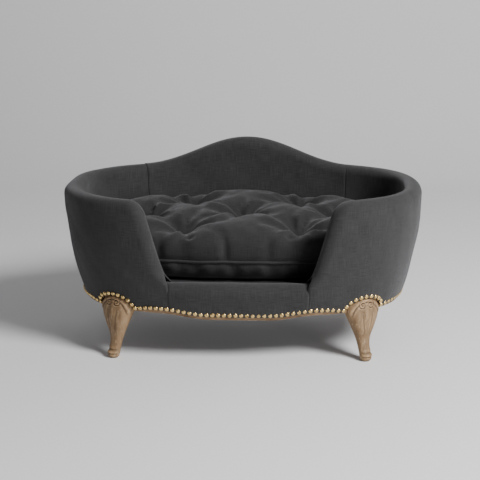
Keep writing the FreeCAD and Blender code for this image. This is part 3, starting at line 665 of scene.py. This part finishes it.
def puff(piece, limit):
    """Fills the cushion: cloth under pressure, held at its tufts, its seam and its underside."""
    remesh = piece.modifiers.new("even cloth", "REMESH")
    remesh.mode = "VOXEL"
    remesh.voxel_size = 5.0 * MM
    apply_modifier(piece, remesh)
    rest = coordinates(piece.data)
    hold = piece.vertex_groups.new(name="held")
    outward = np.hypot(rest[:, 0] / CUSHION_HALF_WIDTH, rest[:, 1] / CUSHION_FRONT)
    weight = bell(rest[:, 2] - SEAM_HEIGHT, 0.006) * (outward > 0.8)
    weight = np.maximum(weight, rest[:, 2] < CUSHION_FOOT + 0.004)
    for tx, ty in TUFTS:
        away = np.hypot(rest[:, 0] - tx, rest[:, 1] - ty)
        weight = np.maximum(weight, (away < 0.009) * (rest[:, 2] > BELLY - 0.02))
    for index in np.nonzero(weight > 0.5)[0]:
        hold.add([int(index)], 1.0, "REPLACE")
    cloth = piece.modifiers.new("filling", "CLOTH")
    settings = cloth.settings
    settings.vertex_group_mass = "held"
    settings.use_pressure = True
    settings.uniform_pressure_force = 4.0
    settings.quality = 6
    settings.tension_stiffness = 12
    settings.compression_stiffness = 4
    settings.shear_stiffness = 4
    settings.bending_stiffness = 0.4
    settings.effector_weights.gravity = 0.0
    scene = bpy.context.scene
    for step in range(1, 21):
        scene.frame_set(step)
    apply_modifier(piece, cloth)
    scene.frame_set(1)
    moved = coordinates(piece.data) - rest
    size = np.linalg.norm(moved, axis=1)
    moved *= np.minimum(1.0, limit / np.maximum(size, 1e-9))[:, None]
    piece.data.vertices.foreach_set("co", (rest + moved).ravel())
    piece.data.update()


def settle(piece):
    """Keeps the filled cushion from sinking below its foot and adds the small creases of worn-in linen."""
    p = coordinates(piece.data)
    p[:, 2] = np.maximum(p[:, 2], CUSHION_FOOT)
    radial = np.hypot(p[:, 0] / (CUSHION_HALF_WIDTH + 0.004), p[:, 1] / (CUSHION_BACK + 0.004))
    top = ease((p[:, 2] - 0.21) / 0.05)
    fine = waves(p[:, 0], p[:, 1], p[:, 2], 0.040, 2.0) * 0.9 * MM
    fine = fine + waves(p[:, 0] * 1.6, p[:, 1], p[:, 2], 0.017, 5.0) * 0.35 * MM
    p[:, 2] += fine * top * (radial < 1.2)
    piece.data.vertices.foreach_set("co", p.ravel())
    piece.data.update()
    piece.data.polygons.foreach_set("use_smooth", [True] * len(piece.data.polygons))
    soften = piece.modifiers.new("finer mesh", "SUBSURF")
    soften.levels = soften.render_levels = 1
    apply_modifier(piece, soften)
    piece.data.polygons.foreach_set("use_smooth", [True] * len(piece.data.polygons))


def make_cushion():
    piece = cushion_body()
    puff(piece, PUFF_LIMIT)
    settle(piece)
    return piece


def make_piping(cushion):
    """The welt along the seam, laid against the cushion."""
    graph = bpy.context.evaluated_depsgraph_get()
    tree = BVHTree.FromObject(cushion, graph)
    lengths = np.linspace(0, CUSHION.whole, 320, endpoint=False)
    path = []
    for length in lengths:
        point, normal, _ = CUSHION.frame(length)
        z = SEAM_HEIGHT + 0.0012 * math.sin(length * 21) + 0.0008 * math.sin(length * 47 + 1)
        start = Vector((point.x, point.y, z)) + normal * 0.05
        hit, _, _, _ = tree.ray_cast(start, -normal, 0.12)
        spot = (hit if hit else Vector((point.x, point.y, z))) + normal * PIPING * 0.55
        path.append((spot.x, spot.y, z))
    path = np.array(path)
    for _ in range(3):
        path = (np.roll(path, 1, axis=0) + 2 * path + np.roll(path, -1, axis=0)) / 4
    return tube("cushion_welt", path, PIPING)


# ---------------------------------------------------------------- shader node helpers
class Graph:
    """A short way to place and join shader nodes in a material or a node group."""

    def __init__(self, tree):
        self.tree = tree

    def node(self, kind, **settings):
        made = self.tree.nodes.new(kind)
        for key, value in settings.items():
            setattr(made, key, value)
        return made

    def join(self, source, target):
        self.tree.links.new(source, target)

    def feed(self, target, value):
        if isinstance(value, bpy.types.NodeSocket):
            self.join(value, target)
        else:
            target.default_value = value

    def math(self, operation, *values, clamp=False):
        made = self.node("ShaderNodeMath", operation=operation, use_clamp=clamp)
        for target, value in zip(made.inputs, values):
            self.feed(target, value)
        return made.outputs[0]

    def vector(self, operation, *values):
        made = self.node("ShaderNodeVectorMath", operation=operation)
        for target, value in zip(made.inputs, values):
            self.feed(target, value)
        return made.outputs[0]

    def noise(self, vector, scale, detail=3.0, roughness=0.5):
        made = self.node("ShaderNodeTexNoise")
        self.join(vector, made.inputs["Vector"])
        made.inputs["Scale"].default_value = scale
        made.inputs["Detail"].default_value = detail
        made.inputs["Roughness"].default_value = roughness
        return made.outputs["Fac"]

    def stretch(self, value, low, high, to_low=0.0, to_high=1.0):
        made = self.node("ShaderNodeMapRange")
        for target, number in zip(list(made.inputs)[:5], (value, low, high, to_low, to_high)):
            self.feed(target, number)
        return made.outputs[0]

    def mix(self, share, a, b):
        made = self.node("ShaderNodeMix", data_type="RGBA")
        self.feed(made.inputs[0], share)
        self.feed(made.inputs[6], a)
        self.feed(made.inputs[7], b)
        return made.outputs[2]


def node_group(name, inputs, outputs):
    """An empty shader group with named sockets: each is (name, kind, default)."""
    tree = bpy.data.node_groups.new(name, "ShaderNodeTree")
    for label, kind, default in inputs:
        socket = tree.interface.new_socket(label, in_out="INPUT", socket_type="NodeSocket" + kind)
        if default is not None:
            socket.default_value = default
    for label, kind in outputs:
        tree.interface.new_socket(label, in_out="OUTPUT", socket_type="NodeSocket" + kind)
    graph = Graph(tree)
    return graph, graph.node("NodeGroupInput").outputs, graph.node("NodeGroupOutput").inputs


WEAVE_INPUTS = [("Thread Pitch", "Float", 0.0012), ("Slub", "Float", 1.0)]


def weave_face():
    """Plain weave on one flat face: thread height and the uneven tone of slubbed yarn."""
    graph, given, made = node_group(
        "weave on one face",
        [("Across", "Float", 0.0), ("Up", "Float", 0.0), *WEAVE_INPUTS],
        [("Height", "Float"), ("Tone", "Float")],
    )
    u = graph.math("DIVIDE", given["Across"], given["Thread Pitch"])
    v = graph.math("DIVIDE", given["Up"], given["Thread Pitch"])
    place = graph.node("ShaderNodeCombineXYZ")
    graph.join(given["Across"], place.inputs[0])
    graph.join(given["Up"], place.inputs[1])
    weft = graph.noise(graph.vector("MULTIPLY", place.outputs[0], (38.0, 900.0, 1.0)), 1.0, 3.0, 0.6)
    warp = graph.noise(graph.vector("MULTIPLY", place.outputs[0], (900.0, 30.0, 1.0)), 1.0, 3.0, 0.6)
    warp_wave = graph.math("SINE", graph.math("MULTIPLY", u, math.pi))
    weft_wave = graph.math("SINE", graph.math("MULTIPLY", v, math.pi))
    over = graph.math("MULTIPLY", warp_wave, weft_wave)
    warp_round = graph.math("ABSOLUTE", warp_wave)
    weft_round = graph.math("ABSOLUTE", weft_wave)
    on_top = graph.stretch(over, -0.4, 0.4)
    threads = graph.math(
        "ADD",
        graph.math("MULTIPLY", warp_round, on_top),
        graph.math("MULTIPLY", weft_round, graph.math("SUBTRACT", 1.0, on_top)),
    )
    slubs = graph.math("ADD", graph.stretch(weft, 0.35, 0.75), graph.stretch(warp, 0.40, 0.80))
    tone = graph.math("MULTIPLY", slubs, given["Slub"])
    graph.join(tone, made["Tone"])
    graph.join(graph.math("ADD", threads, graph.math("MULTIPLY", tone, 0.9)), made["Height"])
    return graph.tree


def weave_all_round(face):
    """The weave laid on all sides of a piece, each face taking the plane that it looks along."""
    graph, given, made = node_group(
        "weave all round",
        WEAVE_INPUTS,
        [("Height", "Float"), ("Tone", "Float")],
    )
    spot = graph.node("ShaderNodeSeparateXYZ")
    graph.join(graph.node("ShaderNodeTexCoord").outputs["Object"], spot.inputs[0])
    facing = graph.node("ShaderNodeSeparateXYZ")
    graph.join(graph.node("ShaderNodeNewGeometry").outputs["True Normal"], facing.inputs[0])
    x, y, z = spot.outputs
    weights = [graph.math("POWER", graph.math("ABSOLUTE", side), 5.0) for side in facing.outputs]
    level = graph.math("ADD", weights[0], weights[1])
    total = graph.math("ADD", level, graph.math("ADD", weights[2], 0.0001))
    sums = {"Height": 0.0, "Tone": 0.0}
    for weight, (across, up) in zip(weights, ((y, z), (x, z), (x, y))):
        share = graph.math("DIVIDE", weight, total)
        woven = graph.node("ShaderNodeGroup", node_tree=face)
        graph.join(across, woven.inputs["Across"])
        graph.join(up, woven.inputs["Up"])
        graph.join(given["Thread Pitch"], woven.inputs["Thread Pitch"])
        graph.join(given["Slub"], woven.inputs["Slub"])
        for key in sums:
            part = graph.math("MULTIPLY", woven.outputs[key], share)
            sums[key] = graph.math("ADD", sums[key], part)
    for key, total_value in sums.items():
        graph.join(total_value, made[key])
    return graph.tree


def wood_figure():
    """Oak figure running along one axis: long wavering grain, open pores, and broad colour change."""
    graph, given, made = node_group(
        "oak figure",
        [("Along", "Vector", None), ("Seed", "Float", 0.0)],
        [("Grain", "Float"), ("Pores", "Float"), ("Patches", "Float")],
    )
    place = graph.node("ShaderNodeTexCoord").outputs["Object"]
    shift = graph.node("ShaderNodeCombineXYZ")
    graph.join(given["Seed"], shift.inputs[0])
    moved = graph.vector("ADD", place, shift.outputs[0])
    warp = graph.noise(moved, 14.0, 2.0)
    lift = graph.node("ShaderNodeCombineXYZ")
    graph.join(graph.math("MULTIPLY", warp, 5.0), lift.inputs[1])
    bent = graph.vector("ADD", graph.vector("MULTIPLY", moved, given["Along"]), lift.outputs[0])
    graph.join(graph.noise(bent, 1.0, 5.0, 0.65), made["Grain"])
    fine = graph.noise(graph.vector("MULTIPLY", bent, (4.5, 4.5, 4.5)), 1.0, 2.0, 0.5)
    graph.join(graph.stretch(fine, 0.56, 0.68), made["Pores"])
    graph.join(graph.noise(moved, 22.0, 2.0), made["Patches"])
    return graph.tree


def material(name, colour, roughness):
    made = bpy.data.materials.new(name)
    made.use_nodes = True
    graph = Graph(made.node_tree)
    shader = made.node_tree.nodes["Principled BSDF"]
    shader.inputs["Base Color"].default_value = colour
    shader.inputs["Roughness"].default_value = roughness
    made.diffuse_color = colour
    return made, graph, shader


def bump(graph, shader, height, strength, distance):
    node = graph.node("ShaderNodeBump")
    node.inputs["Strength"].default_value = strength
    node.inputs["Distance"].default_value = distance
    graph.join(height, node.inputs["Height"])
    graph.join(node.outputs[0], shader.inputs["Normal"])


def linen(name, weave, shade, pitch, slub):
    """Charcoal linen: dark yarn with paler slubs, painted shade between its threads, a soft sheen, and
    dust-soft colour change.
    """
    dark = (shade * 0.62, shade * 0.61, shade * 0.63, 1)
    light = (shade * 2.1, shade * 2.04, shade * 2.02, 1)
    made, graph, shader = material(name, (shade, shade, shade, 1), 0.9)
    woven = graph.node("ShaderNodeGroup", node_tree=weave)
    woven.inputs["Thread Pitch"].default_value = pitch
    woven.inputs["Slub"].default_value = slub
    broad = graph.noise(graph.node("ShaderNodeTexCoord").outputs["Object"], 9.0, 3.0)
    slubs = graph.math("MULTIPLY", woven.outputs["Tone"], 0.42)
    tone = graph.math("ADD", slubs, graph.stretch(broad, 0.3, 0.7, -0.06, 0.10))
    # painted shade between the threads: the weave's low places are darker and its thread tops lighter; the
    # height also carries the slubs' own tone
    thread_shade_and_slubs = graph.stretch(woven.outputs["Height"], 0.2, 1.2, -0.10, 0.14)
    graph.join(graph.mix(graph.math("ADD", tone, thread_shade_and_slubs, clamp=True), dark, light), shader.inputs["Base Color"])
    graph.join(graph.stretch(woven.outputs["Tone"], 0.0, 1.5, 0.95, 0.80), shader.inputs["Roughness"])
    shader.inputs["Sheen Weight"].default_value = 0.20
    shader.inputs["Sheen Roughness"].default_value = 0.45
    shader.inputs["Sheen Tint"].default_value = (0.75, 0.75, 0.78, 1)
    shader.inputs["Specular IOR Level"].default_value = 0.25
    bump(graph, shader, woven.outputs["Height"], 0.55, 0.5 * MM)
    return made


def oak(name, figure, along, seed, tones=((0.18, 0.104, 0.048, 1), (0.44, 0.290, 0.158, 1))):
    """Limed oak: pale grain over brown, painted shade darkening its hollows, white wax left in the pores,
    rubbed dull.
    """
    made, graph, shader = material(name, tones[1], 0.62)
    grown = graph.node("ShaderNodeGroup", node_tree=figure)
    grown.inputs["Along"].default_value = along
    grown.inputs["Seed"].default_value = seed
    grain = graph.stretch(grown.outputs["Grain"], 0.30, 0.68)
    patches = graph.stretch(grown.outputs["Patches"], 0.3, 0.7, -0.25, 0.25)
    share = graph.math("ADD", grain, patches, clamp=True)
    plain = graph.mix(share, *tones)
    # painted shade: where the surface is hollow, as in the legs' carving, the colour darkens towards 0.42 of
    # the dark tone
    convexity = graph.node("ShaderNodeNewGeometry").outputs["Pointiness"]
    hollow = graph.stretch(convexity, 0.47, 0.53)
    shaded = graph.mix(hollow, tuple(c * 0.42 for c in tones[0][:3]) + (1,), plain)
    limed = graph.mix(graph.math("MULTIPLY", grown.outputs["Pores"], 0.30), shaded, (0.52, 0.42, 0.30, 1))
    graph.join(limed, shader.inputs["Base Color"])
    graph.join(graph.stretch(grown.outputs["Grain"], 0.3, 0.7, 0.72, 0.52), shader.inputs["Roughness"])
    shader.inputs["Specular IOR Level"].default_value = 0.35
    raised = graph.math("MULTIPLY", grown.outputs["Grain"], 0.6)
    relief = graph.math("SUBTRACT", raised, grown.outputs["Pores"])
    bump(graph, shader, relief, 0.35, 0.4 * MM)
    return made


def nail_brass():
    """Antiqued brass: gold on the dome, brown where it meets the rim, with faint wear."""
    made, graph, shader = material("antique_brass", (0.62, 0.43, 0.17, 1), 0.28)
    place = graph.node("ShaderNodeTexCoord").outputs["Object"]
    tarnish = graph.noise(place, 210.0, 3.0)
    convexity = graph.node("ShaderNodeNewGeometry").outputs["Pointiness"]
    hollow = graph.stretch(convexity, 0.44, 0.50, 0.55, 0.0)
    share = graph.math("ADD", graph.stretch(tarnish, 0.50, 0.72), hollow, clamp=True)
    tarnished = graph.mix(share, (0.74, 0.53, 0.22, 1), (0.14, 0.08, 0.035, 1))
    graph.join(tarnished, shader.inputs["Base Color"])
    shader.inputs["Metallic"].default_value = 1.0
    graph.join(graph.stretch(share, 0.0, 1.0, 0.22, 0.55), shader.inputs["Roughness"])
    bump(graph, shader, graph.noise(place, 420.0, 2.0), 0.12, 0.3 * MM)
    return made


def plain_cloth(name, weave, dark, light, pitch):
    """Lining and deck cloth, twine, felt and wadding: one dull yarn with its weave, and painted shade between
    its threads.
    """
    made, graph, shader = material(name, light, 0.95)
    woven = graph.node("ShaderNodeGroup", node_tree=weave)
    woven.inputs["Thread Pitch"].default_value = pitch
    # painted shade: the colour follows the weave's height, dark in its low places and light on thread tops,
    # with the slubs' own tone mixed in
    yarn = graph.mix(graph.stretch(woven.outputs["Height"], 0.1, 1.6), dark, light)
    graph.join(yarn, shader.inputs["Base Color"])
    bump(graph, shader, woven.outputs["Height"], 0.4, 0.4 * MM)
    return made


def zinc_steel():
    made, graph, shader = material("zinc_steel", (0.55, 0.56, 0.58, 1), 0.38)
    spangle = graph.noise(graph.node("ShaderNodeTexCoord").outputs["Object"], 300.0, 2.0)
    graph.join(graph.mix(spangle, (0.42, 0.43, 0.45, 1), (0.66, 0.67, 0.70, 1)), shader.inputs["Base Color"])
    graph.join(graph.stretch(spangle, 0.3, 0.7, 0.3, 0.5), shader.inputs["Roughness"])
    shader.inputs["Metallic"].default_value = 1.0
    return made


def studio_grey(name):
    made, graph, shader = material(name, (0.62, 0.615, 0.62, 1), 0.85)
    mottling = graph.noise(graph.node("ShaderNodeTexCoord").outputs["Object"], 1.5, 3.0)
    paper = graph.mix(mottling, (0.83, 0.825, 0.83, 1), (0.87, 0.865, 0.87, 1))
    graph.join(paper, shader.inputs["Base Color"])
    shader.inputs["Specular IOR Level"].default_value = 0.15
    return made


# ---------------------------------------------------------------- putting it together
def give(piece, finish):
    piece.data.materials.clear()
    piece.data.materials.append(finish)


def place(piece, finish, body, slot_name, *nodes):
    """Finishes a new piece, joins it to its body, and hides the CAD nodes that it stands for."""
    give(piece, finish)
    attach(piece, body)
    if nodes:
        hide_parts(*nodes)


def finish_nodes(finishes):
    """Gives every carried-over CAD node its finish, by the end of its name."""
    for name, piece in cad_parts.items():
        for ending, finish in finishes.items():
            if name.endswith(ending):
                give(piece, finish)
                break


def build():
    face = weave_face()
    weave = weave_all_round(face)
    figure = wood_figure()
    wall_linen = linen("charcoal_linen", weave, 0.027, 0.00125, 0.75)
    # painted shade: the cushion wears the walls' linen made darker, 0.019 against 0.027, for the cushion's
    # shaded top
    cushion_linen = linen("cushion_linen", weave, 0.019, 0.00125, 0.70)
    welt_linen = linen("welt_linen", weave, 0.026, 0.0010, 0.50)
    leg_oak = oak("oak_legs", figure, (90.0, 90.0, 16.0), 0.0)
    edge_tones = ((0.12, 0.068, 0.032, 1), (0.30, 0.19, 0.10, 1))
    edge_oak = oak("oak_edge", figure, (16.0, 60.0, 110.0), 3.0, edge_tones)
    birch_tones = ((0.42, 0.28, 0.15, 1), (0.62, 0.46, 0.28, 1))
    birch = oak("birch_ply", figure, (20.0, 80.0, 80.0), 5.0, birch_tones)
    lining = plain_cloth("black_lining", weave, (0.010, 0.010, 0.011, 1), (0.030, 0.030, 0.032, 1), 0.0012)
    wadding = plain_cloth("cream_wadding", weave, (0.55, 0.50, 0.38, 1), (0.72, 0.68, 0.56, 1), 0.003)
    felt = plain_cloth("felt", weave, (0.10, 0.08, 0.06, 1), (0.20, 0.17, 0.13, 1), 0.0018)
    zinc = zinc_steel()
    brass = nail_brass()
    finish_nodes({
        "_nails": brass, "_apron": edge_oak, "_leg": leg_oak,
        "_board": birch, "_brace": birch, "_blocks": birch, "_dowels": birch,
        "_bolts": zinc, "_nuts": zinc, "_washers": zinc, "_screws": zinc,
        "_cloth": lining, "_twine": lining, "_padding": wadding, "_pad": wadding, "_filling": wadding,
        "_glides": felt,
    })
    walls = {"right_arm": arm_cloth("right_arm_linen", False), "left_arm": arm_cloth("left_arm_linen", True)}
    walls["back"] = back_cloth()
    walls["front_rail"] = rail_cloth()
    for name, piece in walls.items():
        place(piece, wall_linen, "frame", "upholstery_linen", name + "_cover", name + "_padding")
    for name, piece in nail_rows().items():
        place(piece, brass, "frame", "nail_brass", name)
    for name, length in LEGS.items():
        place(leg_mesh(name + "_carved", length), leg_oak, "frame", "oak", name)
    cushion = make_cushion()
    stands_for = ("cushion_cover", "cushion_filling", "tuft_twine")
    place(cushion, cushion_linen, "cushion", "upholstery_linen", *stands_for)
    place(make_piping(cushion), welt_linen, "cushion", "upholstery_linen", "cushion_piping")


# ---------------------------------------------------------------- studio
CAMERA_AZIMUTH = 2.5  # degrees
CAMERA_ELEVATION = 13.5  # degrees
CAMERA_DISTANCE = 2.65
CAMERA_TARGET = Vector((0.0, -0.008, 0.200))
CAMERA_LENS = 93.0
CAMERA_SENSOR = 36.0
CAMERA_SHIFT = (-0.0063, 0.0062)
WORLD_STRENGTH = 0.21
COVE_START = 1.6  # where the floor begins to curve up
COVE_RADIUS = 1.0


def camera():
    data = bpy.data.cameras.new("camera")
    data.lens = CAMERA_LENS
    data.sensor_width = CAMERA_SENSOR
    data.shift_x, data.shift_y = CAMERA_SHIFT
    seat = bpy.data.objects.new("camera", data)
    bpy.context.scene.collection.objects.link(seat)
    azimuth, elevation = math.radians(CAMERA_AZIMUTH), math.radians(CAMERA_ELEVATION)
    level = math.cos(elevation)
    away = Vector((math.sin(azimuth) * level, -math.cos(azimuth) * level, math.sin(elevation)))
    seat.location = CAMERA_TARGET + away * CAMERA_DISTANCE
    seat.rotation_euler = (-away).to_track_quat("-Z", "Y").to_euler()
    bpy.context.scene.camera = seat


def soft_light(name, spot, target, size, power):
    data = bpy.data.lights.new(name, "AREA")
    data.shape = "DISK"
    data.size = size
    data.energy = power
    lamp = bpy.data.objects.new(name, data)
    bpy.context.scene.collection.objects.link(lamp)
    lamp.location = spot
    lamp.rotation_euler = (Vector(target) - Vector(spot)).to_track_quat("-Z", "Y").to_euler()


def studio():
    """A pale floor that curves up into a backdrop, one large soft light, and a weak fill."""
    turn = np.linspace(0, np.pi / 2, 16)
    depth = np.concatenate([[-5.0, 0.0], COVE_START + COVE_RADIUS * np.sin(turn), [COVE_START + COVE_RADIUS]])
    height = np.concatenate([[0.0, 0.0], COVE_RADIUS - COVE_RADIUS * np.cos(turn), [5.0]])
    x = np.array([[-6.0, 6.0]]) + 0 * depth[:, None]
    floor = grid_object("studio_floor", x, depth[:, None] + 0 * x, height[:, None] + 0 * x)
    give(floor, studio_grey("studio_paper"))
    soft_light("window", (1.95, -1.75, 2.25), (0.05, 0.0, 0.15), 1.1, 160)
    soft_light("low fill", (1.7, -2.5, 0.42), (0.0, 0.0, 0.25), 1.0, 20)
    world = bpy.data.worlds.new("soft grey")
    world.use_nodes = True
    background = world.node_tree.nodes["Background"]
    background.inputs[0].default_value = (0.80, 0.81, 0.83, 1)
    background.inputs[1].default_value = WORLD_STRENGTH
    bpy.context.scene.world = world


camera()
studio()
build()
